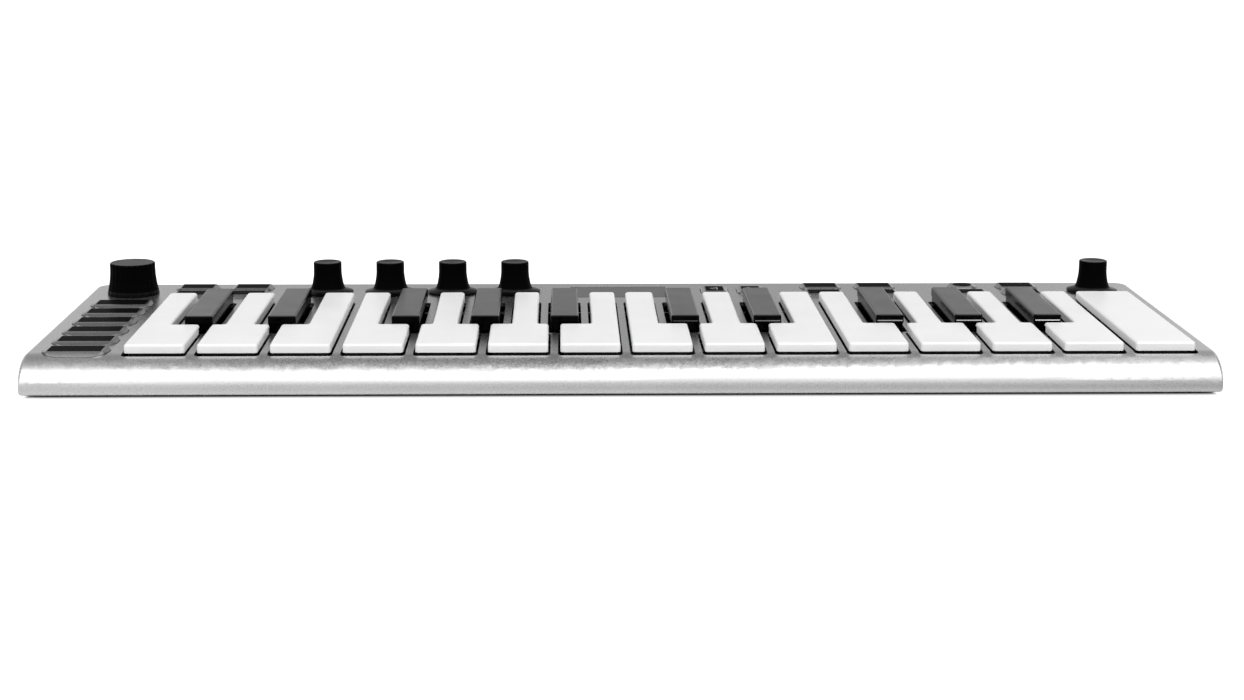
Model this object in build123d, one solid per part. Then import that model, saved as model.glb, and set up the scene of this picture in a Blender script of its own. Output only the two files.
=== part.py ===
from build123d import *
from collections import namedtuple
import os

# Slim 25-note keyboard controller. Millimetres, +Z up, +X to the player's right,
# +Y away from the player. Origin: middle of the footprint, on the table under the feet.

# ---------------------------------------------------------------- body
BODY_W = 388.0          # overall width
BODY_D = 136.0          # overall depth
Y_REAR = BODY_D / 2
Y_FRONT = -BODY_D / 2
FOOT_H = 1.0            # rubber feet below the cover
BODY_H = 12.0           # cover underside to plate
TOP = FOOT_H + BODY_H   # upper face of the plate
PLATE_T = 1.5
PLATE_UNDER = TOP - PLATE_T
WALL = 3.2              # side wall thickness
R_REAR = 5.5            # plan radius of the rear corners
ROLL_Y = -55.5          # where the plate starts to roll down to the front
ROLL_A = ROLL_Y - Y_FRONT   # horizontal half axis of the front roll
ROLL_B = 9.0            # vertical half axis of the front roll
R_TOP = 1.6             # edge radius round the plate and down the front corners
R_BOTTOM = 1.0          # lower edge radius of the shell
SHELL_Z0 = FOOT_H + 0.45
COVER_T = 1.4
COVER_TOP = FOOT_H + COVER_T
CUT_Z0, CUT_Z1 = 7.0, 20.0  # height span of the tools that open the plate

# ---------------------------------------------------------------- keys
KEY_PITCH = 23.5        # white key pitch
CAP_W = 19.54           # white cap width
KEY_X0 = -161.64        # left side of the first white cap
CAP_FRONT = -58.0
CAP_SHOULDER = -24.5    # where the wide front meets the narrow tail
CAP_REAR = 33.4
CAP_TOP = TOP + 3.1
CAP_BOTTOM = TOP + 0.2
KEY_GAP = 0.75          # cap side to window edge
WIN_FRONT = -59.6
WIN_SHOULDER = -26.6
WIN_REAR = 29.0

BLACK_W = 9.5
BLACK_FRONT = -23.3
BLACK_REAR = 28.4
BLACK_TOP = TOP + 5.6
BLACK_WIN_W = 11.6
BLACK_WIN_FRONT = -25.6

PIVOT_Y = 35.0          # key pivot rod
PIVOT_Z = 8.0
ROD_R = 0.90
KEY_BORE_R = 0.96
PIVOT_BOSS_R = 2.4
LEVER_W = 6.0
LEVER_Z0 = 7.0          # underside of the lever beams

# white tails: left and right side, measured from the left side of each cap
TAIL = {
    "c": (0.0, 9.90),
    "d": (4.45, 14.30),
    "e": (9.00, CAP_W),
    "f": (0.0, 9.05),
    "g": (3.68, 12.40),
    "a": (7.10, 15.90),
    "b": (10.50, CAP_W),
}
# black key centres, measured from the left side of the octave's c
BLACK_OFFSET = {
    "cs": 18.93,
    "ds": 46.88,
    "fs": 3 * KEY_PITCH + 18.12,
    "gs": 3 * KEY_PITCH + 45.0,
    "as": 3 * KEY_PITCH + 71.95,
}

# left: cap side; tail_left, tail_right: offsets from it; lever_x: middle of the tail
WhiteKey = namedtuple("WhiteKey", "name left tail_left tail_right lever_x")


def white_key_table():
    names = [f"{note}{octave}" for octave in (1, 2) for note in "cdefgab"] + ["c3"]
    keys = []
    for i, name in enumerate(names):
        left = KEY_X0 + KEY_PITCH * i
        # the last c has no black key beside it, so it keeps its full width
        tail = TAIL[name[0]] if name != "c3" else (0.0, CAP_W)
        keys.append(WhiteKey(name, left, *tail, left + sum(tail) / 2))
    return keys


WHITE_KEYS = white_key_table()
BLACK_KEYS = [(f"{note}{octave}", KEY_X0 + KEY_PITCH * 7 * (octave - 1) + offset)
              for octave in (1, 2) for note, offset in BLACK_OFFSET.items()]

# ---------------------------------------------------------------- buttons
PAD_RAISE = 1.0         # button caps above the plate
PAD_GAP = 0.25
PAD_TOP = TOP + PAD_RAISE
FRONT_TRIM = 1.2        # the front left button is this much shorter, over the roll

# cap width, depth, corner radius; inlay width, depth, corner radius, and shift to the rear
Style = namedtuple("Style", "width depth radius inlay_w inlay_d inlay_r shift")
LEFT = Style(21.5, 14.4, 6.0, 17.5, 8.4, 0.5, 0.4)
MODE = Style(15.4, 11.8, 5.0, 11.7, 7.8, 0.5, 0.3)
ARROW = Style(10.0, 14.0, 3.6, 6.6, 9.0, 0.5, 0.0)
FUNCTION = Style(15.0, 11.8, 5.0, 11.7, 7.8, 0.5, 0.3)
ROUND = Style(10.6, 10.6, 5.25, 7.0, 7.0, 3.45, 0.0)

ROW_REAR, ROW_FRONT, ROW_ARROW = 57.4, 44.2, 51.0
Button = namedtuple("Button", "name x y style trim", defaults=[0.0])


def button_pair(name, x, style):
    return [Button(f"{name}_rear", x, ROW_REAR, style),
            Button(f"{name}_front", x, ROW_FRONT, style)]


BUTTONS = [
    Button("left_button_1", -177.6, -54.1, LEFT, FRONT_TRIM),
    Button("left_button_2", -177.6, -38.1, LEFT),
    Button("left_button_3", -177.6, -22.0, LEFT),
    Button("left_button_4", -177.6, -6.0, LEFT),
    Button("left_button_5", -177.6, 10.0, LEFT),
    Button("left_button_6", -177.6, 26.0, LEFT),
    *button_pair("mode_button_1", -155.2, MODE),
    *button_pair("mode_button_2", -135.0, MODE),
    Button("arrow_button_left", 36.5, ROW_ARROW, ARROW),
    Button("arrow_button_right", 49.9, ROW_ARROW, ARROW),
    *button_pair("function_button_1", 76.6, FUNCTION),
    *button_pair("function_button_2", 96.8, FUNCTION),
    Button("round_button", 130.0, 57.8, ROUND),
    Button("function_button_3_front", 130.0, ROW_FRONT, FUNCTION),
    *button_pair("function_button_4", 150.2, FUNCTION),
]

# ---------------------------------------------------------------- knobs, display, sockets
BIG_KNOB = (-177.5, 48.0)
SMALL_KNOBS = {
    "value_knob_1": (-106.3, 49.3),
    "value_knob_2": (-83.3, 49.3),
    "value_knob_3": (-60.3, 49.3),
    "value_knob_4": (-37.4, 49.3),
    "volume_knob": (177.2, 49.6),
}
KNOB_PLACES = [BIG_KNOB, *SMALL_KNOBS.values()]
KNOB_TOP = TOP + 11.7
KNOB_BASE = TOP + 0.2
SHAFT_R = 3.0

DISPLAY_X, DISPLAY_Y, DISPLAY_W, DISPLAY_D = 0.9, 49.75, 35.0, 22.3

USB_X, USB_Z = -46.0, 7.46
JACK_XS, JACK_Z = [-72.0, -94.0], 8.0

# ---------------------------------------------------------------- boards and fixings
BOARD_Z = 4.6
BOARD_TOP = BOARD_Z + 1.2
FLOOR_Z = 2.5           # underside of the key frame and the key board
MOUNT_GAP = 0.02        # clearance above and below mounted parts

SCREWS_REAR = [(-186.0, 62.2), (-118.0, 62.2), (62.0, 62.2), (186.0, 62.2)]
SCREWS_FRONT = [(-163.9, -62.9), (-69.62, -62.9), (24.38, -62.9), (187.6, -62.9)]
SCREWS = SCREWS_REAR + SCREWS_FRONT
SCREW_BOSS_R = 2.2
SCREW_TIP_Z = 8.0
FEET = [(-172.0, -50.0), (172.0, -50.0), (-172.0, 50.0), (172.0, 50.0)]
BOARD_POSTS = [(-184.0, -30.0), (-184.0, 18.0), (-120.0, 52.0),
               (-22.0, 42.6), (62.0, 52.0), (165.0, 52.0)]


# ---------------------------------------------------------------- helpers
def box(x0, x1, y0, y1, z0, z1):
    return Pos((x0 + x1) / 2, (y0 + y1) / 2, (z0 + z1) / 2) * Box(x1 - x0, y1 - y0, z1 - z0)


def mid_box(x, half_width, y0, y1, z0, z1):
    """Box centred on x."""
    return box(x - half_width, x + half_width, y0, y1, z0, z1)


def post(x, y, half_x, half_y, z0, z1):
    """Box centred on x and y."""
    return mid_box(x, half_x, y - half_y, y + half_y, z0, z1)


def cyl(x, y, z0, z1, radius):
    return Pos(x, y, (z0 + z1) / 2) * Cylinder(radius, z1 - z0)


def cyl_x(x0, x1, radius):
    """Cylinder along X on the pivot axis."""
    return Pos((x0 + x1) / 2, PIVOT_Y, PIVOT_Z) * Rot(0, 90, 0) * Cylinder(radius, x1 - x0)


def jack_cyl(x, y, radius, length):
    """Cylinder along Y on a jack's axis, centred on y."""
    return Pos(x, y, JACK_Z) * Rot(90, 0, 0) * Cylinder(radius, length)


def rounded(x, y, width, depth, radius, z0, z1):
    """Upright prism with a rounded-rectangle outline."""
    return extrude(Pos(x, y, z0) * RectangleRounded(width, depth, radius), amount=z1 - z0)


def prism(points, radius, z0, z1):
    """Upright prism from a polygon whose corners are rounded."""
    outline = Polygon(*points, align=None)
    outline = fillet(outline.vertices(), radius)
    return extrude(Pos(0, 0, z0) * outline, amount=z1 - z0)


def run_x(edges, x0, length, y=0):
    """Section drawn as (across Y from y, height), run along +X from x0."""
    plane = Plane(origin=(x0, y, 0), x_dir=(0, 1, 0), z_dir=(1, 0, 0))
    return extrude(plane * make_face(edges), amount=length)


def xz_plane(x, y):
    """Upright plane facing the player, drawn as (across X from x, height)."""
    return Plane(origin=(x, y, 0), x_dir=(1, 0, 0), z_dir=(0, -1, 0))


def rolled_body(inset, drop, z_low):
    """Body section with the elliptic front roll, inset from the walls and below the plate."""
    y_front, y_rear = Y_FRONT + inset, Y_REAR - inset
    z_top, roll_z = TOP - drop, TOP - ROLL_B
    edges = [
        Line((ROLL_Y, z_top), (y_rear, z_top)),
        Line((y_rear, z_top), (y_rear, z_low)),
        Line((y_rear, z_low), (y_front, z_low)),
        Line((y_front, z_low), (y_front, roll_z)),
        EllipticalCenterArc((ROLL_Y, roll_z), ROLL_A - inset, ROLL_B - drop,
                            start_angle=90, arc_size=90),
    ]
    return run_x(edges, -BODY_W / 2 + inset, BODY_W - 2 * inset)


def plan_solid(inset, r_front, r_rear, z0, z1):
    """Footprint of the body, inset all round, with its own corner radii."""
    outline = Rectangle(BODY_W - 2 * inset, BODY_D - 2 * inset)
    rear = [v for v in outline.vertices() if v.Y > 0]
    outline = fillet(rear, r_rear)
    if r_front > 0:
        front = [v for v in outline.vertices() if v.Y < Y_FRONT + inset + 0.1]
        outline = fillet(front, r_front)
    return extrude(Pos(0, 0, z0) * outline, amount=z1 - z0)


def key_points(key, y_front, y_shoulder, y_rear, grow):
    """Plan outline of a white key: wide front, narrow tail, grown on its sides."""
    left, right = key.left - grow, key.left + CAP_W + grow
    tail_left, tail_right = key.left + key.tail_left - grow, key.left + key.tail_right + grow
    points = [(left, y_front), (right, y_front)]
    if abs(tail_right - right) > 0.01:
        points += [(right, y_shoulder), (tail_right, y_shoulder)]
    points += [(tail_right, y_rear), (tail_left, y_rear)]
    if abs(tail_left - left) > 0.01:
        points += [(tail_left, y_shoulder), (left, y_shoulder)]
    return points


def round_top(solid, radius):
    """Round the edges of the highest face."""
    return fillet(solid.faces().sort_by(Axis.Z)[-1].edges(), radius).solid()


def save(name, *solids):
    """Write one file with its separate solids."""
    if len(solids) == 1:
        shape = solids[0]
    else:
        shape = Compound(children=[Solid(s.solid().wrapped) for s in solids])
    export_step(shape, f"parts/{name}.step")


# ---------------------------------------------------------------- top shell
def on_rim(edge):
    """The smooth chain: up a front corner, over the roll, round the plate and down again."""
    bounds = edge.bounding_box()
    size = bounds.size
    if bounds.max.Z < SHELL_Z0 + 0.01:
        return False
    upright = size.X < 0.01 and size.Y < 0.01
    if upright and bounds.max.Y < Y_FRONT + 0.1:
        return True
    # the uprights of the rear corners
    if (upright and size.Z > 5) or (size.X < 6 and size.Z > 9):
        return False
    # the long edges where the roll starts and ends
    return not (size.X > 300 and bounds.max.Y < Y_REAR - 1)


def plate_openings():
    """Tools for the key windows, button holes, knob holes and display window."""
    tools = []
    for key in WHITE_KEYS:
        points = key_points(key, WIN_FRONT, WIN_SHOULDER, WIN_REAR, KEY_GAP)
        tools.append(prism(points, 1.4, CUT_Z0, CUT_Z1))
    for _, x in BLACK_KEYS:
        tools.append(rounded(x, (BLACK_WIN_FRONT + WIN_REAR) / 2, BLACK_WIN_W,
                             WIN_REAR - BLACK_WIN_FRONT, 1.4, CUT_Z0, CUT_Z1))
    for _, x, y, style, trim in BUTTONS:
        tools.append(rounded(x, y + trim / 2, style.width + 2 * PAD_GAP,
                             style.depth - trim + 2 * PAD_GAP, style.radius + PAD_GAP,
                             CUT_Z0, CUT_Z1))
    for x, y in KNOB_PLACES:
        tools.append(cyl(x, y, CUT_Z0, CUT_Z1, 3.7))
    tools.append(rounded(DISPLAY_X, DISPLAY_Y, DISPLAY_W + 0.3, DISPLAY_D + 0.3, 0.9,
                         CUT_Z0, CUT_Z1))
    return tools


def top_shell():
    outer = rolled_body(0.0, 0.0, SHELL_Z0)
    outer &= plan_solid(0.0, 0.0, R_REAR, 0, 30)
    outer = outer.solid()
    outer = fillet([e for e in outer.edges() if on_rim(e)], R_TOP).solid()
    low = [e for e in outer.edges() if e.bounding_box().max.Z < SHELL_Z0 + 0.01]
    outer = fillet(low, R_BOTTOM).solid()

    inner = rolled_body(WALL, PLATE_T, 0)
    inner &= plan_solid(WALL, 1.5, R_REAR - WALL + 0.5, 0, 30)
    shell = outer - inner

    for places, boss_top in ((SCREWS_REAR, TOP - 0.6), (SCREWS_FRONT, 9.0)):
        for x, y in places:
            shell += cyl(x, y, COVER_TOP + 0.05, boss_top, SCREW_BOSS_R)

    cuts = plate_openings()
    cuts += [cyl(x, y, 0, SCREW_TIP_Z + 0.2, 1.0) for x, y in SCREWS]
    # socket openings in the rear wall
    cuts.append(Pos(0, 75.0, 0) * Rot(90, 0, 0) * rounded(USB_X, USB_Z, 9.3, 3.6, 1.79, 0, 15))
    cuts += [jack_cyl(x, 66, 3.1, 12) for x in JACK_XS]
    for cut in cuts:
        shell -= cut
    save("top_shell", shell.solid())


# ---------------------------------------------------------------- base cover, feet, screws
def base_cover():
    cover = plan_solid(WALL + 0.15, 1.4, R_REAR - WALL + 0.35, FOOT_H, COVER_TOP)
    for x, y in FEET:
        cover -= cyl(x, y, 0, FOOT_H + 0.3, 6.0)
    for x, y in SCREWS:
        cover -= cyl(x, y, 0, 3, 1.15)
        cover -= cyl(x, y, 0, FOOT_H + 0.75, 2.15)
    # posts under the control board
    for x, y in BOARD_POSTS:
        cover += cyl(x, y, COVER_TOP - 0.05, BOARD_Z - MOUNT_GAP, 1.8)
    save("base_cover", cover.solid())


def rubber_feet():
    feet = []
    for x, y in FEET:
        foot = cyl(x, y, 0, FOOT_H + 0.28, 5.9)
        feet.append(fillet(foot.edges().group_by(Axis.Z)[0], 0.35))
    save("rubber_feet", *feet)


def cover_screws():
    slot_long, slot_short, slot_top = 1.1, 0.22, FOOT_H + 0.45
    screws = []
    for x, y in SCREWS:
        screw = cyl(x, y, FOOT_H + 0.1, FOOT_H + 0.73, 1.95)
        screw += cyl(x, y, FOOT_H + 0.7, SCREW_TIP_Z, 0.98)
        screw -= post(x, y, slot_long, slot_short, FOOT_H, slot_top)
        screw -= post(x, y, slot_short, slot_long, FOOT_H, slot_top)
        screws.append(screw.solid())
    save("cover_screws", *screws)


# ---------------------------------------------------------------- key frame and pivot rod
def key_frame_and_rod():
    frame_top = 4.0
    frame = box(-164.6, 189.4, -56.8, 39.0, FLOOR_Z, frame_top)
    frame -= box(-160.0, 185.0, -14.0, 10.0, 2.0, 5.0)

    # rod saddles: one outside each end lever and one after every third lever
    levers = sorted([key.lever_x for key in WHITE_KEYS] + [x for _, x in BLACK_KEYS])
    saddles = [levers[0] - 7.0]
    saddles += [(levers[k] + levers[k + 1]) / 2 for k in range(2, len(levers) - 1, 3)]
    saddles.append(levers[-1] + 7.0)
    for x in saddles:
        frame += mid_box(x, 1.5, 32.6, 37.4, frame_top - 0.1, 10.4)

    # guide post that stands in the hollow of each white key's front
    for key in WHITE_KEYS:
        frame += mid_box(key.left + CAP_W / 2, 2.0, -46.5, -44.5, frame_top - 0.1, 8.6)

    rod_x0, rod_x1 = saddles[0] - 3.0, saddles[-1] + 3.0
    frame -= cyl_x(rod_x0 - 5, rod_x1 + 5, ROD_R + 0.03)
    save("key_frame", frame.solid())
    save("key_pivot_rod", cyl_x(rod_x0, rod_x1, ROD_R))


# ---------------------------------------------------------------- keys: cap and lever
def add_pivot_arm(lever, x):
    """Arm under the plate and the boss round the pivot rod."""
    lever += mid_box(x, LEVER_W / 2, WIN_REAR - 4.0, PIVOT_Y, 6.2, 9.8)
    return lever + cyl_x(x - LEVER_W / 2, x + LEVER_W / 2, PIVOT_BOSS_R)


def pivot_bore(x):
    return cyl_x(x - 10, x + 10, KEY_BORE_R)


def white_cap(key):
    left, right = key.left, key.left + CAP_W
    cap = prism(key_points(key, CAP_FRONT, CAP_SHOULDER, CAP_REAR, 0.0),
                1.3, CAP_BOTTOM, CAP_TOP)
    # the shoulders and the rear end hang over the plate and must clear it when pressed
    under = CAP_BOTTOM - 1
    cap -= box(left - 5, right + 5, WIN_REAR - 1.0, CAP_REAR + 5, under, TOP + 0.55)
    shoulder = (WIN_SHOULDER - 0.9, CAP_SHOULDER + 2, under, TOP + 2.05)
    if key.tail_left > 0.01:
        cap -= box(left - 5, left + key.tail_left - 0.2, *shoulder)
    if key.tail_right < CAP_W - 0.01:
        cap -= box(left + key.tail_right + 0.2, right + 5, *shoulder)
    return round_top(cap.solid(), 0.85)


def white_lever(key):
    lever_top = CAP_BOTTOM - 0.01
    block_z0 = 8.2
    block_left, block_right = key.left + 1.3, key.left + CAP_W - 1.3
    # hollow front block
    lever = box(block_left, block_right, CAP_FRONT + 1.5, WIN_SHOULDER - 1.4,
                block_z0, lever_top)
    lever -= box(block_left + 1.4, block_right - 1.4, CAP_FRONT + 2.9, WIN_SHOULDER - 2.8,
                 7.0, 11.9)
    # tail beam
    lever += mid_box(key.lever_x, LEVER_W / 2, WIN_SHOULDER - 2.5, WIN_REAR - 1.2,
                     LEVER_Z0, lever_top)
    lever = add_pivot_arm(lever, key.lever_x)
    # front stop
    lever += mid_box(key.left + CAP_W / 2, 3.0, -60.8, CAP_FRONT + 2.0, block_z0, 9.4)
    lever -= pivot_bore(key.lever_x)
    return lever.solid()


def black_cap(x):
    y, depth = (BLACK_FRONT + BLACK_REAR) / 2, BLACK_REAR - BLACK_FRONT
    cap = rounded(x, y, BLACK_W, depth, 0.9, TOP - 0.05, BLACK_TOP)
    cap = round_top(cap.solid(), 0.8)
    # shallow step round the foot of the cap
    ring = rounded(x, y, BLACK_W + 2, depth + 2, 1.5, TOP - 1, TOP + 2.6)
    ring -= rounded(x, y, BLACK_W - 0.5, depth - 0.5, 0.7, TOP - 2, TOP + 3)
    cap -= ring
    return cap.solid()


def black_lever(x):
    lever = mid_box(x, 3.3, BLACK_FRONT + 1.2, WIN_REAR - 1.6, LEVER_Z0, TOP - 0.06)
    lever = add_pivot_arm(lever, x)
    lever -= pivot_bore(x)
    return lever.solid()


# ---------------------------------------------------------------- buttons: cap and inlay
def crown(half, land, z_edge, z_low, shift=0.0):
    """Section with a flat land near the middle and slightly bulged slopes to both edges."""
    bulge = 0.06
    z_top = PAD_TOP
    land_lo, land_hi = shift - land, shift + land
    z_mid = (z_edge + z_top) / 2 + bulge
    return [
        Line((-half, z_low), (half, z_low)),
        Line((half, z_low), (half, z_edge)),
        ThreePointArc((half, z_edge), ((half + land_hi) / 2 + bulge * 0.3, z_mid),
                      (land_hi, z_top)),
        Line((land_hi, z_top), (land_lo, z_top)),
        ThreePointArc((land_lo, z_top), ((land_lo - half) / 2 - bulge * 0.3, z_mid),
                      (-half, z_edge)),
        Line((-half, z_edge), (-half, z_low)),
    ]


def button(name, x, y, style, trim):
    width, depth, radius, inlay_w, inlay_d, inlay_r, shift = style
    z_low = PLATE_UNDER - 0.4
    tool_z0 = z_low - 1
    body = rounded(x, y + trim / 2, width, depth - trim, radius, z_low, PAD_TOP + 1).solid()
    # crowned from front to rear, then from left to right
    body &= run_x(crown(depth / 2, inlay_d / 2 + 0.45, TOP + 0.06, tool_z0, shift),
                  x - width, 2 * width, y)
    across = xz_plane(x, y + depth) * make_face(
        crown(width / 2, inlay_w / 2 + 0.25, TOP + 0.10, tool_z0))
    body &= extrude(across, amount=2 * depth)
    if trim:
        # the cap's front edge follows the roll of the plate
        nose = run_x(crown(depth / 2 - trim, inlay_d / 2 + 0.25, TOP - 0.36, tool_z0, shift),
                     x - width, 2 * width, y)
        nose += mid_box(x, width, y, y + depth, tool_z0, PAD_TOP + 1)
        body &= nose
    body = body.solid()

    # flange and stem under the plate
    flange_top, flange_t = PLATE_UNDER - 0.15, 0.75
    flange = rounded(x, y, width + 1.4, depth + 0.9, radius + 0.4,
                     flange_top - flange_t, flange_top)
    if trim:
        flange -= mid_box(x, width, y - depth, Y_FRONT + 11.2, flange_top - 2, flange_top + 1)
    body += flange
    body += cyl(x, y, 9.85, flange_top, 1.6)

    inlay_z0 = PAD_TOP - 0.3
    body -= rounded(x, y + shift, inlay_w, inlay_d, inlay_r, inlay_z0, TOP + 5)
    inlay = rounded(x, y + shift, inlay_w - 0.04, inlay_d - 0.04, inlay_r,
                    inlay_z0 + 0.01, PAD_TOP + 0.04)
    save(name, body.solid(), inlay.solid())


# ---------------------------------------------------------------- knobs with their shafts
def turned(x, y, edges):
    """Half section drawn as (radius, height), turned about the upright axis at x, y."""
    return revolve(xz_plane(x, y) * make_face(edges), axis=Axis((x, y, 0), (0, 0, 1)),
                   revolution_arc=360)


def knob_shaft(x, y):
    shaft = cyl(x, y, 6.4, 21.0, SHAFT_R)
    # flat on the upper part of the shaft that carries the knob
    shaft -= mid_box(x, 5, y + 1.6, y + 5, TOP + 1.0, 22.0)
    return shaft


def select_knob():
    x, y = BIG_KNOB
    base, top = KNOB_BASE, KNOB_TOP + 0.1
    knob = turned(x, y, [
        Line((0, base), (9.25, base)),
        Line((9.25, base), (9.4, base + 0.15)),
        Spline([(9.4, base + 0.15), (8.8, base + 3.0), (8.32, base + 6.2), (8.15, top - 0.5)],
               tangents=[(-0.25, 1), (0, 1)]),
        ThreePointArc((8.15, top - 0.5), (8.0, top - 0.14), (7.65, top)),
        Line((7.65, top), (0, top)),
        Line((0, top), (0, base)),
    ])
    # flutes: each an upper and a lower cylinder leaning with the side of the knob
    flutes, flute_r = 24, 1.05
    for k in range(flutes):
        turn = Pos(x, y, 0) * Rot(0, 0, 360 / flutes * k)
        knob -= turn * Pos(8.995, 0, base + 10.1) * Rot(0, -1.98, 0) * Cylinder(flute_r, 9.0)
        knob -= turn * Pos(9.73, 0, base + 2.75) * Rot(0, -10.4, 0) * Cylinder(flute_r, 6.6)
    shaft = knob_shaft(x, y)
    knob -= shaft
    save("select_knob", knob.solid(), shaft.solid())


def small_knob(name, x, y):
    """Waisted knob with a thin skirt and a dished top."""
    base, top = KNOB_BASE, KNOB_TOP
    knob = turned(x, y, [
        Line((0, base), (9.1, base)),
        Line((9.1, base), (9.3, base + 0.2)),
        Line((9.3, base + 0.2), (9.3, base + 0.55)),
        Spline([(9.3, base + 0.55), (7.9, base + 0.95), (6.55, base + 1.5),
                (5.75, base + 3.2), (5.3, base + 5.6), (5.1, top - 0.45)],
               tangents=[(-1, 0.22), (0, 1)]),
        ThreePointArc((5.1, top - 0.45), (4.97, top - 0.13), (4.65, top)),
        Line((4.65, top), (4.2, top)),
        ThreePointArc((4.2, top), (2.4, top - 0.24), (0.5, top - 0.34)),
        Line((0.5, top - 0.34), (0, top - 0.34)),
        Line((0, top - 0.34), (0, base)),
    ])
    shaft = knob_shaft(x, y)
    knob -= shaft
    save(name, knob.solid(), shaft.solid())


# ---------------------------------------------------------------- display and boards
def display_lens():
    lens = rounded(DISPLAY_X, DISPLAY_Y, DISPLAY_W, DISPLAY_D, 0.75, PLATE_UNDER, TOP - 0.08)
    save("display_lens", lens.solid())


def circuit_boards():
    # control board: a strip along the rear with a leg down the left side
    control = box(-189.0, 189.0, 40.4, 59.6, BOARD_Z, BOARD_TOP)
    control += box(-189.0, -166.4, -60.6, 40.5, BOARD_Z, BOARD_TOP)
    key_board_top = 3.9
    key_board = box(-159.5, 184.5, -13.6, 9.6, FLOOR_Z, key_board_top)
    module = rounded(DISPLAY_X, DISPLAY_Y, DISPLAY_W - 1.0, DISPLAY_D - 1.2, 0.6,
                     BOARD_TOP + MOUNT_GAP, PLATE_UNDER - MOUNT_GAP)
    # two contact strips under the key levers
    contacts = [box(-158.0, 183.0, y, y + 3.0, key_board_top + MOUNT_GAP, 4.8)
                for y in (-8.5, 0.5)]
    save("circuit_boards", control.solid(), key_board.solid(), module.solid(), *contacts)


# ---------------------------------------------------------------- parts on the control board
def knob_mount(x, y):
    mount = post(x, y, 5.8, 5.8, BOARD_TOP + MOUNT_GAP, 10.6)
    mount += cyl(x, y, 10.5, TOP - 0.2, 3.5)
    mount -= cyl(x, y, 6.3, 20, SHAFT_R + 0.05)
    return mount.solid()


def button_switch(x, y):
    switch = post(x, y, 2.3, 2.3, BOARD_TOP + MOUNT_GAP, BOARD_TOP + 2.6)
    switch += cyl(x, y, BOARD_TOP + 2.5, BOARD_TOP + 3.35, 1.2)
    return switch.solid()


def usb_socket():
    """Drawn upright, then laid down with its mouth to the rear."""
    usb = rounded(0, 0, 8.94, 3.26, 1.6, 0, 11.4)
    usb -= rounded(0, 0, 8.34, 2.66, 1.3, 5.0, 12)
    usb += post(0, 0, 3.3, 0.35, 4.5, 10.4)
    return (Pos(USB_X, 56.0, USB_Z) * Rot(-90, 0, 0) * usb).solid()


def jack_socket(x):
    jack = mid_box(x, 3.4, 55.4, 64.5, BOARD_TOP + MOUNT_GAP, 10.4)
    jack += jack_cyl(x, 65.9, 3.0, 3.4)
    jack -= jack_cyl(x, 66, 1.8, 20.0)
    return jack.solid()


def board_components():
    parts = [knob_mount(x, y) for x, y in KNOB_PLACES]
    parts += [button_switch(b.x, b.y) for b in BUTTONS]
    parts.append(usb_socket())
    parts += [jack_socket(x) for x in JACK_XS]
    save("board_components", *parts)


# ---------------------------------------------------------------- build
os.makedirs("parts", exist_ok=True)
top_shell()
base_cover()
rubber_feet()
cover_screws()
key_frame_and_rod()
for key in WHITE_KEYS:
    save(f"white_key_{key.name}", white_cap(key), white_lever(key))
for name, x in BLACK_KEYS:
    save(f"black_key_{name}", black_cap(x), black_lever(x))
for entry in BUTTONS:
    button(*entry)
select_knob()
for name, (x, y) in SMALL_KNOBS.items():
    small_knob(name, x, y)
display_lens()
circuit_boards()
board_components()
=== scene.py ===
"""A small music keyboard: white and black keys, buttons, knobs and a display in a metal shell.

It lies flat with its width along X. The keys' front edge faces -Y and the tops face +Z.
Lengths are in metres, except where a name or comment says mm.
"""

import math

import bmesh
import bpy
from mathutils import Matrix, Vector

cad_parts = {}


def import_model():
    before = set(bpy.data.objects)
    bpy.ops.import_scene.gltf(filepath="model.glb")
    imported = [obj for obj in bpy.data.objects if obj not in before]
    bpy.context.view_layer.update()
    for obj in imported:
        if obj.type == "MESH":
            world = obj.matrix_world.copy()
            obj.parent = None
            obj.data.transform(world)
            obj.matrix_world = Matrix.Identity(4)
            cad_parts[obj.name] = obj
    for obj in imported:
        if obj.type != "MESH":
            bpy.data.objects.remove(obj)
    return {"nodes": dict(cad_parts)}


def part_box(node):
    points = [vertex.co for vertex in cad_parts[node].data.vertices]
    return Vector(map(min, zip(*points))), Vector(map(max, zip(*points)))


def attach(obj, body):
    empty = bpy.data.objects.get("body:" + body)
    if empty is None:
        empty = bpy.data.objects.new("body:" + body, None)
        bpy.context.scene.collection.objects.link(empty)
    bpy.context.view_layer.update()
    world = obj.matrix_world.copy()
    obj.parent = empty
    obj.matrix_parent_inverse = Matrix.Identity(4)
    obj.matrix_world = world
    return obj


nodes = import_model()["nodes"]
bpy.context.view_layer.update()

MM = 0.001
WHITE = (1.0, 1.0, 1.0, 1.0)

# Heights at which a piece changes from one finish to another
WHITE_CAP_Z = 0.013195
BLACK_CAP_Z = 0.012945
# band low on the black keys' front faces that carries their painted highlight
BLACK_GLINT_Z = (0.01638, 0.01672)
INLAY_Z = 0.013705
BUTTON_CAP_Z = 0.0121
SHAFT_TOP_Z = 0.01319
KNOB_FOOT_Z = (0.0140, 0.0148)
UPPER_BOARD_Z = 0.00581
DARK_STRIP_Z = (0.00391, 0.00481)
BUSH_Z = 0.01061


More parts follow.
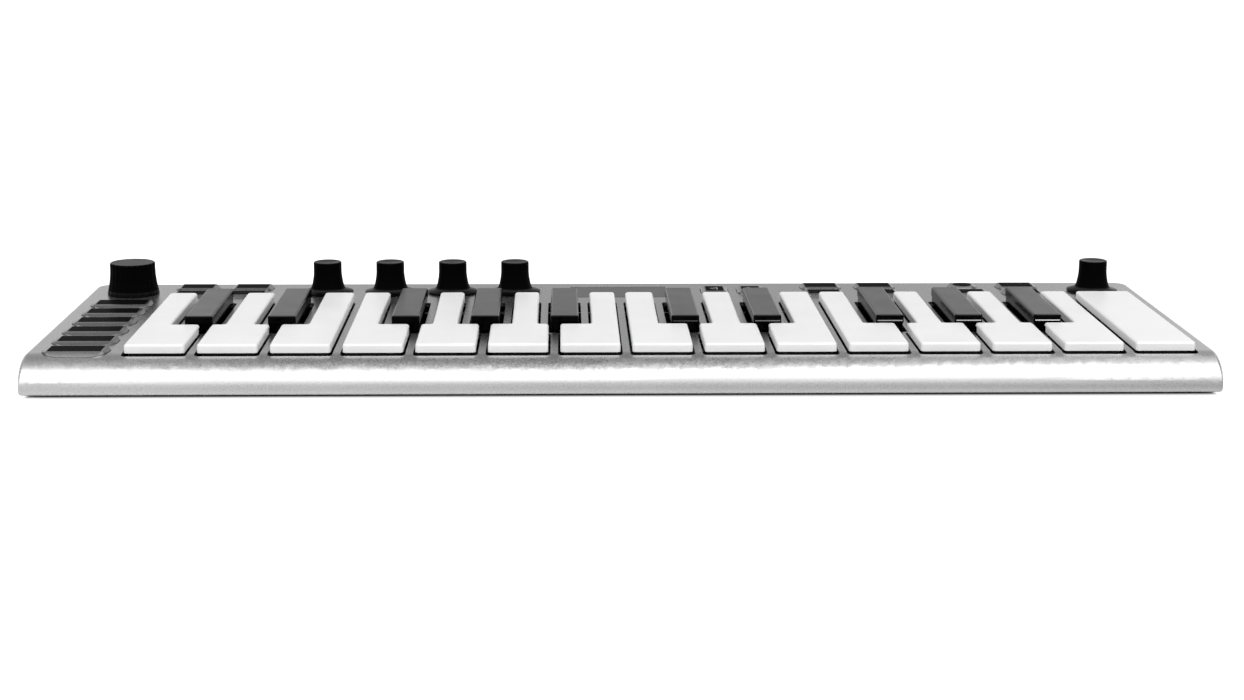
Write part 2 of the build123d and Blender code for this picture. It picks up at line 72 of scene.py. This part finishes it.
# ---------------------------------------------------------------- node helpers
class Value:
    """An output socket; arithmetic and comparisons on it build Math nodes."""

    def __init__(self, tree, socket):
        self.tree = tree
        self.socket = socket

    def __add__(self, other):
        return self.tree.math("ADD", self, other)

    def __sub__(self, other):
        return self.tree.math("SUBTRACT", self, other)

    def __rsub__(self, other):
        return self.tree.math("SUBTRACT", other, self)

    def __mul__(self, other):
        return self.tree.math("MULTIPLY", self, other)

    def __truediv__(self, other):
        return self.tree.math("DIVIDE", self, other)

    def __lt__(self, other):
        return self.tree.math("LESS_THAN", self, other)

    def __gt__(self, other):
        return self.tree.math("GREATER_THAN", self, other)

    def __abs__(self):
        return self.tree.math("ABSOLUTE", self)


class Tree:
    """A material or world node tree, built in code."""

    def __init__(self, owner):
        owner.use_nodes = True
        self.owner = owner
        self.graph = owner.node_tree
        self.graph.nodes.clear()

    def add(self, kind, inputs=None, **settings):
        """A new node; inputs are keyed by socket index or name."""
        node = self.graph.nodes.new(kind)
        for name, setting in settings.items():
            setattr(node, name, setting)
        for key, value in (inputs or {}).items():
            if isinstance(value, Value):
                self.graph.links.new(value.socket, node.inputs[key])
            else:
                node.inputs[key].default_value = value
        return node

    def out(self, kind, inputs=None, output=0, **settings):
        """One output of a new node."""
        return Value(self, self.add(kind, inputs, **settings).outputs[output])

    def math(self, operation, first, second=0.0):
        return self.out("ShaderNodeMath", {0: first, 1: second}, operation=operation)

    def coord(self, output="Object"):
        return self.out("ShaderNodeTexCoord", output=output)

    def normal(self):
        return self.out("ShaderNodeNewGeometry", output="Normal")

    def camera_ray(self):
        return self.out("ShaderNodeLightPath", output="Is Camera Ray")

    def xyz(self, vector):
        split = self.add("ShaderNodeSeparateXYZ", {0: vector})
        return [Value(self, socket) for socket in split.outputs]

    def noise(self, vector, scale, detail=3.0, rough=0.55):
        inputs = {"Vector": vector, "Scale": scale, "Detail": detail, "Roughness": rough}
        return self.out("ShaderNodeTexNoise", inputs, "Fac")

    def remap(self, value, over, to, smooth=False):
        """Carries the range over onto the range to, held at both ends."""
        inputs = {0: value, 1: over[0], 2: over[1], 3: to[0], 4: to[1]}
        kind = "SMOOTHSTEP" if smooth else "LINEAR"
        return self.out("ShaderNodeMapRange", inputs, interpolation_type=kind)

    def spread(self, noise, low, high):
        """Noise stretched from its usual range to low..high."""
        return self.remap(noise, over=(0.3, 0.7), to=(low, high))

    def mix(self, mask, off, on):
        """Blend of two numbers: off where the mask is 0, on where it is 1."""
        return self.out("ShaderNodeMix", {0: mask, 2: off, 3: on}, data_type="FLOAT")

    def mix_vector(self, mask, off, on):
        return self.out("ShaderNodeMix", {0: mask, 4: off, 5: on}, 1, data_type="VECTOR")

    def mix_color(self, mask, off, on):
        return self.out("ShaderNodeMix", {0: mask, 6: off, 7: on}, 2, data_type="RGBA")

    def grey(self, value):
        return self.out("ShaderNodeCombineColor", {0: value, 1: value, 2: value})

    def scaled(self, vector, factors):
        return self.out("ShaderNodeVectorMath", {0: vector, 1: factors}, operation="MULTIPLY")

    def bump(self, height, distance, normal=None):
        inputs = {"Height": height, "Distance": distance, "Strength": 1.0}
        if normal is not None:
            inputs["Normal"] = normal
        return self.out("ShaderNodeBump", inputs)

    def bevel(self, radius):
        return self.out("ShaderNodeBevel", {0: radius}, samples=4)

    def principled(self, **inputs):
        """Ends the tree in a principled surface and returns the material."""
        named = {key.replace("_", " "): value for key, value in inputs.items()}
        surface = self.out("ShaderNodeBsdfPrincipled", named)
        self.add("ShaderNodeOutputMaterial", {0: surface})
        return self.owner


def material(name):
    """A new material's tree and its object coordinates."""
    tree = Tree(bpy.data.materials.new(name))
    return tree, tree.coord()


# ---------------------------------------------------------------- materials
def blasted_metal(tree, point, base):
    """Tone, roughness and bump height of bead-blasted, clear-anodised aluminium."""
    fine = tree.noise(point, scale=2900.0, detail=3.0, rough=0.6)
    middle = tree.noise(point, scale=1150.0, detail=2.0, rough=0.5)
    wide = tree.noise(point, scale=26.0, detail=2.0, rough=0.5)
    tone = (tree.spread(fine, low=-0.035, high=0.035)
            + tree.spread(wide, low=-0.012, high=0.012) + base)
    mean_rough = 0.30
    rough = (tree.spread(middle, low=-0.05, high=0.05)
             + tree.spread(wide, low=-0.02, high=0.02) + mean_rough)
    fine_share, middle_share = 0.6, 0.9
    height = fine * fine_share + middle * middle_share
    return tone, rough, height


def plate_material():
    tree, point = material("plate_aluminium")
    x, y, z = tree.xyz(point)
    tone, rough, height = blasted_metal(tree, point, base=0.80)

    # the hollow inside of the shell is darker: it lies within the skin's rolled front section
    roll_forward, roll_z = 0.0555, 0.004  # the roll's centre, forward of the origin and up
    roll_depth, roll_height = 0.0125, 0.009  # half axes of its oval
    inner_half_width, inner_back = 0.1909, 0.0649
    along = tree.math("MINIMUM", y + roll_forward, 0.0) / roll_depth
    rise = (z - roll_z) / roll_height
    inside = tree.remap(along * along + rise * rise, over=(0.70, 0.76), to=(1.0, 0.0))
    hollow = inside * (abs(x) < inner_half_width) * (y < inner_back)
    tone = tree.mix(hollow, off=tone, on=0.18)
    rough = tree.mix(hollow, off=rough, on=0.6)

    # the grain shows on the rolled front and fades out on the flat top
    up = tree.xyz(tree.normal())[2]
    grain = (tree.remap(up, over=(0.93, 0.995), to=(1.0, 0.16))
             * tree.remap(up, over=(0.1, 0.4), to=(1.5, 1.0)))

    # painted reflection: the front skin's tone is raised towards its lower edge and lowered just
    # above it, most of all at the right
    painted_reflection = (tree.remap(z, over=(0.0014, 0.0038), to=(0.17, -0.22), smooth=True)
            * tree.remap(x, over=(-0.19, 0.19), to=(0.25, 1.0))
            * tree.remap(y, over=(-0.0672, -0.0660), to=(1.0, 0.0)))
    # painted shade: faces that look straight up are toned down to 0.80 of the rolled front's tone
    tone = tone * (painted_reflection + 1.0) * tree.remap(up, over=(0.93, 0.995), to=(1.0, 0.80))
    normal = tree.bump(height * grain, distance=2.0e-5, normal=tree.bevel(radius=0.00010))
    return tree.principled(Base_Color=tree.grey(tone), Metallic=1.0, Roughness=rough,
                           Normal=normal)


def white_key_material():
    """Pale cap on a dark lever."""
    tree, point = material("key_white")
    cap = tree.xyz(point)[2] > WHITE_CAP_Z
    wide = tree.noise(point, scale=60.0)
    fine = tree.noise(point, scale=5200.0, detail=2.0, rough=0.5)
    up = tree.xyz(tree.normal())[2]
    # painted shade: faces that turn away from up are toned down, the front faces to about 0.945
    # of the top
    tone = (tree.spread(wide, low=0.815, high=0.845)
            * tree.remap(up, over=(0.2, 0.8), to=(0.945, 1.0)))
    lever = tree.spread(fine, low=0.010, high=0.018)
    wide_share = 2.0
    return tree.principled(
        Base_Color=tree.mix_color(cap, off=tree.grey(lever), on=tree.grey(tone)),
        Roughness=tree.mix(cap, off=0.5, on=tree.spread(wide, low=0.30, high=0.38)),
        Normal=tree.bump(fine + wide * wide_share, distance=4.0e-6),
        Specular_IOR_Level=tree.mix(cap, off=0.15, on=0.45))


def black_key_material():
    """Satin top, polished sides, a dull lever below the cap, and a painted highlight low on the
    front.
    """
    tree, point = material("key_black")
    x, y, z = tree.xyz(point)
    facing = tree.normal()
    top = tree.remap(tree.xyz(facing)[2], over=(0.55, 0.95), to=(0.0, 1.0), smooth=True)
    wide = tree.noise(point, scale=90.0)
    fine = tree.noise(point, scale=4200.0, detail=2.0, rough=0.5)
    top_rough = tree.spread(wide, low=0.27, high=0.33)
    side_rough = tree.spread(wide, low=0.10, high=0.14)
    tone = tree.mix(top, off=0.0006, on=tree.spread(fine, low=0.045, high=0.060))
    cap = z > BLACK_CAP_Z
    side_grain, top_grain = 0.1, 0.9  # grain everywhere, and what the top adds
    normal = tree.bump(fine * (top * top_grain + side_grain), distance=5.0e-6)

    # painted highlight: a thin band low on the front face gets a shading normal that leans back,
    # and a metallic grey that grows towards the right
    front_limit = -0.9
    glint_band = ((z > BLACK_GLINT_Z[0]) * (z < BLACK_GLINT_Z[1])
           * (tree.xyz(facing)[1] < front_limit))
    normal = tree.mix_vector(glint_band, off=normal, on=(0.0, -0.66, 0.75))
    painted_glint = glint_band * tree.remap(x, over=(0.01, 0.085), to=(0.0, 1.0))
    tone = tone * tree.mix(cap, off=0.3, on=1.0)
    return tree.principled(
        Base_Color=tree.grey(tree.mix(painted_glint, off=tone, on=0.42)),
        Roughness=tree.mix(cap, off=0.5, on=tree.mix(top, off=side_rough, on=top_rough)),
        Metallic=painted_glint,
        Specular_IOR_Level=tree.mix(cap, off=0.03, on=tree.mix(top, off=0.03, on=0.60)),
        Normal=normal)


def button_material(name, centre_x, centre_y, width, depth, is_round):
    """Metal cap with a dark inlay in its top, and dark below the cap."""
    tree, point = material("button_" + name)
    x, y, z = tree.xyz(point)
    tone, rough, height = blasted_metal(tree, point, base=0.36)
    across = x - centre_x
    along = y - centre_y
    margin = 1.0e-5  # keeps the ink off the inlay's rim
    if is_round:
        radius = tree.math("SQRT", across * across + along * along)
        inlay = radius < width / 2 - margin
    else:
        inlay = (abs(across) < width / 2 - margin) * (abs(along) < depth / 2 - margin)
    inlay = inlay * (z > INLAY_Z)
    fine = tree.noise(point, scale=3600.0, detail=2.0, rough=0.5)
    inlay_tone = tree.spread(fine, low=0.002, high=0.005)
    low = z < BUTTON_CAP_Z
    tone = tree.mix(low, off=tone, on=0.05)
    height = height * tree.mix(inlay, off=1.0, on=0.12)
    return tree.principled(
        Base_Color=tree.grey(tree.mix(inlay, off=tone, on=inlay_tone)),
        Metallic=(1.0 - inlay) * (1.0 - low),
        Roughness=tree.mix(inlay, off=rough, on=tree.spread(fine, low=0.40, high=0.48)),
        IOR=tree.mix(inlay, off=1.5, on=1.04),
        Specular_IOR_Level=0.5,
        Normal=tree.bump(height, distance=1.2e-5))


def knob_material():
    """Black knob, darker at its foot, on a metal shaft."""
    tree, point = material("knob_black")
    z = tree.xyz(point)[2]
    up = tree.xyz(tree.normal())[2]
    top = tree.remap(up, over=(0.5, 0.95), to=(0.0, 1.0), smooth=True)
    fine = tree.noise(point, scale=3200.0)
    wide = tree.noise(point, scale=150.0, detail=2.0, rough=0.5)
    shaft = z < SHAFT_TOP_Z
    foot = tree.remap(z, over=KNOB_FOOT_Z, to=(1.0, 0.0))
    tone = tree.mix(top, off=0.0008, on=tree.spread(fine, low=0.018, high=0.028))
    tone = tree.mix(foot, off=tone, on=0.002)
    rough = tree.mix(top, off=0.5, on=tree.spread(wide, low=0.30, high=0.36))
    rough = tree.mix(foot, off=rough, on=0.22)
    return tree.principled(
        Base_Color=tree.grey(tree.mix(shaft, off=tone, on=0.6)),
        Metallic=shaft,
        Roughness=tree.mix(shaft, off=rough, on=0.3),
        IOR=tree.mix(foot, off=tree.mix(top, off=1.45, on=1.19), on=1.10),
        Specular_IOR_Level=tree.mix(foot, off=tree.mix(top, off=0.02, on=0.40), on=0.5),
        Normal=tree.bump(fine, distance=6.0e-6))


def lens_material(centre):
    """Dark glass with a slightly paler window in its middle."""
    tree, point = material("display_glass")
    x, y, z = tree.xyz(point)
    window = (tree.remap(abs(x - centre.x), over=(0.0150, 0.0152), to=(1.0, 0.0))
              * tree.remap(abs(y - centre.y), over=(0.0080, 0.0082), to=(1.0, 0.0)))
    haze = tree.noise(point, scale=220.0)
    tone = tree.mix(window, off=0.012, on=tree.spread(haze, low=0.020, high=0.024))
    fine = tree.noise(point, scale=3800.0, detail=2.0, rough=0.5)
    return tree.principled(
        Base_Color=tree.grey(tone),
        Roughness=tree.spread(haze, low=0.17, high=0.21),
        Specular_IOR_Level=0.37,
        Normal=tree.bump(fine, distance=1.5e-6))


def plastic_material(name, base, rough, scale, depth):
    """Dark plastic with a pebbled grain."""
    tree, point = material(name)
    grain = tree.out("ShaderNodeTexVoronoi", {"Vector": point, "Scale": scale}, "Distance")
    wide = tree.noise(point, scale=35.0, detail=3.0, rough=0.5)
    return tree.principled(
        Base_Color=tree.grey(tree.spread(wide, low=0.92, high=1.08) * base),
        Roughness=tree.spread(wide, low=rough - 0.04, high=rough + 0.04),
        Specular_IOR_Level=0.35,
        Normal=tree.bump(grain, distance=depth))


def rubber_material():
    tree, point = material("foot_rubber")
    fine = tree.noise(point, scale=2400.0, detail=4.0, rough=0.65)
    return tree.principled(
        Base_Color=tree.grey(tree.spread(fine, low=0.018, high=0.030)),
        Roughness=tree.spread(fine, low=0.72, high=0.85),
        Specular_IOR_Level=0.3,
        Normal=tree.bump(fine, distance=2.0e-5))


def steel_material(name, base, stretch):
    """Steel; a stretch factor below 1 draws the grain out along that axis."""
    tree, point = material(name)
    lines = tree.noise(tree.scaled(point, stretch), scale=900.0, detail=3.0, rough=0.6)
    return tree.principled(
        Base_Color=tree.grey(tree.spread(lines, low=base * 0.9, high=base * 1.1)),
        Metallic=1.0,
        Roughness=tree.spread(lines, low=0.22, high=0.36),
        Normal=tree.bump(lines, distance=8.0e-6))


def board_material():
    """Green board with tracks; the upper board and a strip across the lower are dark."""
    tree, point = material("circuit_board")
    x, y, z = tree.xyz(point)
    weave_rate = 5200.0
    weave = tree.math("SINE", x * weave_rate) * tree.math("SINE", y * weave_rate)
    blotches = tree.noise(tree.scaled(point, factors=(1.0, 6.0, 1.0)),
                          scale=130.0, detail=2.0, rough=0.5)
    tracks = tree.remap(blotches, over=(0.50, 0.53), to=(0.0, 1.0))
    green = tree.mix_color(tracks, off=(0.010, 0.075, 0.035, 1.0), on=(0.016, 0.115, 0.055, 1.0))
    strip_forward, strip_half_depth = 0.0025, 0.0065
    strip = ((z > DARK_STRIP_Z[0]) * (z < DARK_STRIP_Z[1])
             * (abs(y + strip_forward) < strip_half_depth))
    dark = tree.math("MAXIMUM", z > UPPER_BOARD_Z, strip)
    return tree.principled(
        Base_Color=tree.mix_color(dark, off=green, on=(0.03, 0.03, 0.03, 1.0)),
        Roughness=tree.mix(dark, off=0.32, on=0.6),
        Normal=tree.bump(weave, distance=3.0e-6))


def component_material():
    """Black parts, with metal for the USB socket at the back and the tall bushes."""
    tree, point = material("component_black")
    x, y, z = tree.xyz(point)
    usb_front, usb_left, usb_half_width = 0.0555, 0.046, 0.0055
    usb = (y > usb_front) * (abs(x + usb_left) < usb_half_width)
    metal = tree.math("MAXIMUM", usb, z > BUSH_Z)
    fine = tree.noise(point, scale=1800.0, detail=3.0, rough=0.6)
    tone = tree.mix(metal, off=tree.spread(fine, low=0.02, high=0.035), on=0.62)
    return tree.principled(
        Base_Color=tree.grey(tone),
        Metallic=metal,
        Roughness=tree.mix(metal, off=0.5, on=tree.spread(fine, low=0.25, high=0.35)),
        Normal=tree.bump(fine, distance=8.0e-6))


def print_material():
    """Pale screen-printed ink of the arrow marks."""
    tree, point = material("printed_mark")
    fine = tree.noise(point, scale=6000.0, detail=3.0, rough=0.6)
    return tree.principled(
        Base_Color=tree.grey(tree.spread(fine, low=0.30, high=0.38)),
        Roughness=0.55,
        Normal=tree.bump(fine, distance=3.0e-6))


# ---------------------------------------------------------------- shading normals
SHARP_ANGLE = math.radians(28)


def normals_group():
    """Welds split corners and marks sharp edges: flat faces shade flat, rolled ones round."""
    group = bpy.data.node_groups.new("normals", "GeometryNodeTree")
    for side in ("INPUT", "OUTPUT"):
        group.interface.new_socket("Geometry", in_out=side, socket_type="NodeSocketGeometry")
    new, link = group.nodes.new, group.links.new
    start = new("NodeGroupInput")
    end = new("NodeGroupOutput")
    weld = new("GeometryNodeMergeByDistance")
    weld.inputs["Distance"].default_value = 1.0e-6
    drop = new("GeometryNodeRemoveAttribute")
    drop.inputs["Name"].default_value = "custom_normal"
    smooth = new("GeometryNodeSetShadeSmooth")
    smooth.domain = "FACE"
    sharp = new("GeometryNodeSetShadeSmooth")
    sharp.domain = "EDGE"
    edge = new("GeometryNodeInputMeshEdgeAngle")
    shallow = new("ShaderNodeMath")
    shallow.operation = "LESS_THAN"
    shallow.inputs[1].default_value = SHARP_ANGLE
    chain = (start, weld, drop, smooth, sharp, end)
    for before, after in zip(chain, chain[1:]):
        link(before.outputs[0], after.inputs[0])
    link(edge.outputs["Unsigned Angle"], shallow.inputs[0])
    link(shallow.outputs[0], sharp.inputs["Shade Smooth"])
    return group


group = normals_group()
for name in sorted(nodes):
    nodes[name].modifiers.new("Normals", "NODES").node_group = group
    weighted = nodes[name].modifiers.new("Weighted", "WEIGHTED_NORMAL")
    weighted.mode = "FACE_AREA"
    weighted.weight = 50
    weighted.keep_sharp = True


# ---------------------------------------------------------------- materials on the pieces
def give(name, look):
    """Puts one material in every slot of a piece."""
    piece = nodes[name]
    if not piece.material_slots:
        piece.data.materials.append(look)
    for slot in piece.material_slots:
        slot.material = look


give("top_shell", plate_material())
key_white, key_black, knob = white_key_material(), black_key_material(), knob_material()
for name in nodes:
    if name.startswith("white_key_"):
        give(name, key_white)
    elif name.startswith("black_key_"):
        give(name, key_black)
    elif name.endswith("_knob") or name.startswith("value_knob_"):
        give(name, knob)

# By the first word of a button's name, in mm: inlay width, inlay depth, cap depth,
# and how far the inlay sits behind the cap's middle
INLAYS = {
    "left": (17.5, 8.4, 14.4, 0.4),
    "mode": (11.7, 7.8, 11.8, 0.3),
    "arrow": (6.6, 9.0, 14.0, 0.0),
    "function": (11.7, 7.8, 11.8, 0.3),
    "round": (7.0, 7.0, 10.6, 0.0),
}
CAP_EXTRA = 0.9  # mm by which a button's body is deeper than its cap

for name in sorted(nodes):
    if "_button" in name:
        low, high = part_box(name)
        width, depth, cap_depth, shift = INLAYS[name.split("_")[0]]
        give(name, button_material(
            name,
            centre_x=((low + high) / 2).x,
            centre_y=high.y - ((cap_depth + CAP_EXTRA) / 2 - shift) * MM,
            width=width * MM,
            depth=depth * MM,
            is_round=name.startswith("round")))

low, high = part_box("display_lens")
give("display_lens", lens_material((low + high) / 2))
give("base_cover", plastic_material("cover_plastic", base=0.030, rough=0.52,
                                    scale=900.0, depth=2.0e-5))
give("key_frame", plastic_material("frame_plastic", base=0.020, rough=0.45,
                                   scale=500.0, depth=1.0e-5))
give("key_pivot_rod", steel_material("rod_steel", base=0.6, stretch=(0.05, 1.0, 1.0)))
give("cover_screws", steel_material("screw_steel", base=0.22, stretch=(1.0, 1.0, 1.0)))
give("circuit_boards", board_material())
give("board_components", component_material())
give("rubber_feet", rubber_material())


def new_object(name, data):
    made = bpy.data.objects.new(name, data)
    bpy.context.scene.collection.objects.link(made)
    return made


def mesh_object(name, shape):
    mesh = bpy.data.meshes.new(name)
    shape.to_mesh(mesh)
    shape.free()
    return new_object(name, mesh)


# ---------------------------------------------------------------- arrow marks, sizes in mm
ARROW_TIP, ARROW_BASE = 1.75, 1.15  # reach in X from the button's middle
ARROW_HALF_DEPTH = 2.3
ARROW_HOLE = 0.70  # the open middle, as a share of the outline
ARROW_SINK, ARROW_RISE = 0.01, 0.02  # below and above the button's top


def arrow_mark(name, button, side, ink):
    """A triangular outline on a button, pointing to -X or +X as side is -1 or 1."""
    low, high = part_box(button)
    centre_x, centre_y = (low.x + high.x) / 2, (low.y + high.y) / 2
    corners = [(side * ARROW_TIP * scale, depth * scale) if depth == 0.0
               else (-side * ARROW_BASE * scale, depth * scale)
               for scale in (1.0, ARROW_HOLE)
               for depth in (0.0, ARROW_HALF_DEPTH, -ARROW_HALF_DEPTH)]
    shape = bmesh.new()

    def layer(z):
        return [shape.verts.new((centre_x + x * MM, centre_y + y * MM, z)) for x, y in corners]

    under = layer(high.z - ARROW_SINK * MM)
    top = layer(high.z + ARROW_RISE * MM)
    for i in range(3):
        j = (i + 1) % 3
        shape.faces.new((top[i], top[j], top[j + 3], top[i + 3]))
        shape.faces.new((under[j], under[i], under[i + 3], under[j + 3]))
        shape.faces.new((under[i], under[j], top[j], top[i]))
        shape.faces.new((under[j + 3], under[i + 3], top[i + 3], top[j + 3]))
    bmesh.ops.recalc_face_normals(shape, faces=shape.faces)
    mark = mesh_object(name, shape)
    mark.data.materials.append(ink)
    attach(mark, button)


ink = print_material()
arrow_mark("arrow_mark_left", "arrow_button_left", side=-1, ink=ink)
arrow_mark("arrow_mark_right", "arrow_button_right", side=1, ink=ink)


# ---------------------------------------------------------------- floor
def floor_material():
    tree, point = material("floor_pale")
    soft = tree.noise(point, scale=3.0, detail=2.0, rough=0.5)
    # painted shade: the floor's own colour falls from 0.60 to 0.42 towards +X, which darkens its
    # reflection in the shell's front at the right
    tone = (tree.spread(soft, low=-0.01, high=0.01)
            + tree.remap(tree.xyz(point)[0], over=(-0.25, 0.25), to=(0.60, 0.42)))
    diffuse = tree.out("ShaderNodeBsdfDiffuse", {"Color": tree.grey(tone)})
    # seen directly the floor is white, except in the gap under the object
    x, y, z = tree.xyz(point)
    under = (tree.remap(abs(x), over=(0.1915, 0.1935), to=(1.0, 0.0), smooth=True)
             * tree.remap(abs(y), over=(0.0622, 0.0656), to=(1.0, 0.0), smooth=True))
    glow_strength = 0.82
    strength = tree.camera_ray() * ((1.0 - under) * glow_strength)
    glow = tree.out("ShaderNodeEmission", {"Color": WHITE, "Strength": strength})
    both = tree.out("ShaderNodeAddShader", {0: diffuse, 1: glow})
    tree.add("ShaderNodeOutputMaterial", {0: both})
    return tree.owner


def floor():
    shape = bmesh.new()
    bmesh.ops.create_grid(shape, x_segments=8, y_segments=8, size=12.0)
    ground = mesh_object("floor", shape)
    ground.data.materials.append(floor_material())


floor()


# ---------------------------------------------------------------- studio dome
# Brightness by angle from straight up, in degrees, positive towards the front
DOME = [
    (-180, 0.45), (-96, 0.50), (-90, 0.675), (-80, 0.50), (-68, 0.335), (-50, 0.21),
    (-30, 0.17), (-14, 0.24), (0, 0.40), (14, 0.92), (28, 1.55), (42, 1.85),
    (58, 1.60), (70, 1.15), (82, 0.75), (92, 0.50), (100, 0.45), (180, 0.45),
]
# Brightness factor by the X of a direction, low at the back and above the object
LOW_BACK = [
    (-1.0, 1.80), (-0.5, 1.74), (-0.22, 1.50), (-0.12, 1.14), (-0.04, 0.99), (0.06, 0.96),
    (0.13, 1.02), (0.19, 1.08), (0.24, 1.32), (0.30, 2.05), (0.5, 2.35), (1.0, 1.9),
]
ABOVE = [
    (-1.0, 1.0), (-0.5, 2.2), (-0.26, 2.2), (-0.2, 1.6), (-0.12, 1.05), (-0.05, 0.82),
    (0.04, 0.80), (0.10, 1.10), (0.16, 1.8), (0.21, 3.9), (0.34, 4.1), (0.55, 1.2), (1.0, 1.0),
]
RAMP_SCALE = 3.0  # ramp colours are stored divided by this


def brightness(tree, value, limit, stops, stop_limit):
    """A ramp through stops; value runs over -limit..limit, stops over -stop_limit..stop_limit."""
    position = tree.remap(value, over=(-limit, limit), to=(0.0, 1.0))
    ramp = tree.add("ShaderNodeValToRGB", {0: position})
    ramp.color_ramp.interpolation = "EASE"
    elements = ramp.color_ramp.elements
    elements.remove(elements[-1])
    for i, (at, level) in enumerate(stops):
        # the one element left already sits at the ramp's start
        stop = elements[0] if i == 0 else elements.new((at + stop_limit) / (2 * stop_limit))
        stop.color = (level / RAMP_SCALE, level / RAMP_SCALE, level / RAMP_SCALE, 1)
    return Value(tree, ramp.outputs[0]) * RAMP_SCALE


def dome():
    """Soft light all round, brightest overhead and in front; plain white to the camera."""
    world = bpy.data.worlds.new("studio")
    bpy.context.scene.world = world
    tree = Tree(world)
    x, y, z = tree.xyz(tree.coord("Generated"))
    tilt = tree.math("ARCTAN2", y * -1.0, z)
    base = brightness(tree, tilt, math.pi, DOME, 180)
    # the side-to-side change is strong behind and above the object, where the ceiling is dim
    low_back = brightness(tree, x, 1.0, LOW_BACK, 1)
    above = brightness(tree, x, 1.0, ABOVE, 1)

    def blend(start, end):
        """Rises from 0 to 1 between two tilts in degrees."""
        return tree.remap(tilt, over=(math.radians(start), math.radians(end)), to=(0.0, 1.0),
                          smooth=True)

    factor = tree.mix(blend(start=-48, end=-28), off=low_back, on=above)
    factor = tree.mix(blend(start=8, end=36), off=factor, on=1.0)
    strength = tree.mix(tree.camera_ray(), off=base * factor, on=1.0)
    light = tree.out("ShaderNodeBackground", {"Color": WHITE, "Strength": strength})
    tree.add("ShaderNodeOutputWorld", {0: light})


dome()


# ---------------------------------------------------------------- lights
def softbox(name, at, width, height, power):
    """A rectangular light aimed at the origin."""
    data = bpy.data.lights.new(name, "AREA")
    data.shape = "RECTANGLE"
    data.size, data.size_y, data.energy = width, height, power
    light = new_object(name, data)
    light.location = at
    light.rotation_euler = (Vector() - Vector(at)).to_track_quat("-Z", "Y").to_euler()
    return light


softbox("key_light", at=(0.55, -0.75, 1.25), width=0.9, height=0.6, power=2.0)
# even light that matt faces get and glossy ones don't mirror
overhead = softbox("overhead", at=(0.0, 0.0, 1.5), width=1.2, height=0.9, power=3.0)
overhead.visible_glossy = False

# ---------------------------------------------------------------- camera
CAMERA_AT = (-0.0200455, -0.7841040, 0.1685649)
YAW, PITCH, ROLL = 0.0267132446, 0.209779860, 0.00283683101  # radians; pitch is downwards

forward = Vector((math.sin(YAW) * math.cos(PITCH), math.cos(YAW) * math.cos(PITCH),
                  -math.sin(PITCH)))
level_right = Vector((math.cos(YAW), -math.sin(YAW), 0.0))
level_up = level_right.cross(forward)
right = level_right * math.cos(ROLL) + level_up * math.sin(ROLL)
up = level_up * math.cos(ROLL) - level_right * math.sin(ROLL)
pose = Matrix((right, up, -forward)).transposed().to_4x4()
pose.translation = CAMERA_AT

camera_data = bpy.data.cameras.new("camera")
camera_data.sensor_width = 36.0
camera_data.sensor_fit = "HORIZONTAL"
camera_data.lens = 66.2328116
camera_data.clip_start = 0.01
camera_data.clip_end = 50.0
camera = new_object("camera", camera_data)
camera.matrix_world = pose
bpy.context.scene.camera = camera

view = bpy.context.scene.view_settings
view.view_transform = "Standard"
view.look = "None"
view.exposure = 0.0
view.gamma = 1.0
